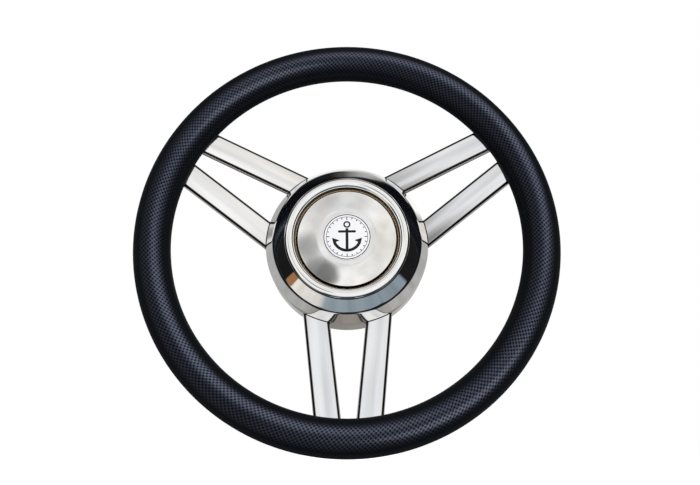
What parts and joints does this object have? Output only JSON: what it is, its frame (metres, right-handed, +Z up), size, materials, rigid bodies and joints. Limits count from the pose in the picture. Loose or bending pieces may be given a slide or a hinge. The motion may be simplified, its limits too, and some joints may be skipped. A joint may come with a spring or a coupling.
{
  "type": "stainless boat steering wheel",
  "caption": "Boat steering wheel with paired flat polished spoke bars, a round spun hub with a snap-in cap, and a dark moulded grip.",
  "frame": {"origin": "middle of the rear mouth of the tapered shaft bore, on the wheel's axis", "axes": "+Y along the axis away from the person who steers, +Z up with one pair of spokes pointing down, +X to the right as that person sees it"},
  "size_m": [0.3499, 0.069, 0.35],
  "materials": {
    "polished_steel": "mirror-polished stainless steel, TIG welds ground flush",
    "cap_steel": "buffed stainless steel, a little softer than the hub",
    "plain_steel": "pickled stainless steel, unpolished",
    "turned_steel": "turned stainless steel with fine lathe rings",
    "spring_steel": "spring-tempered stainless strip",
    "grip_skin": "integral-skin polyurethane foam with a clear-coated woven carbon look, navy black",
    "seal_rubber": "tan elastomer ring",
    "badge_enamel": "white domed resin with black print",
    "adhesive_foam": "thin adhesive foam"
  },
  "bodies": {
    "root": {"grip": "grip_skin", "rim_core": "plain_steel", "spoke_bar_bottom_left": "polished_steel", "spoke_bar_bottom_right": "polished_steel", "spoke_bar_left_lower": "polished_steel", "spoke_bar_left_upper": "polished_steel", "spoke_bar_right_lower": "polished_steel", "spoke_bar_right_upper": "polished_steel", "hub_shell": "polished_steel", "hub_back_plate": "plain_steel", "shaft_boss": "turned_steel", "centre_cap": "cap_steel", "cap_seal": "seal_rubber", "cap_clip_1": "spring_steel", "cap_clip_2": "spring_steel", "cap_clip_3": "spring_steel", "badge": "badge_enamel", "badge_pad": "adhesive_foam"}
  },
  "joints": []
}
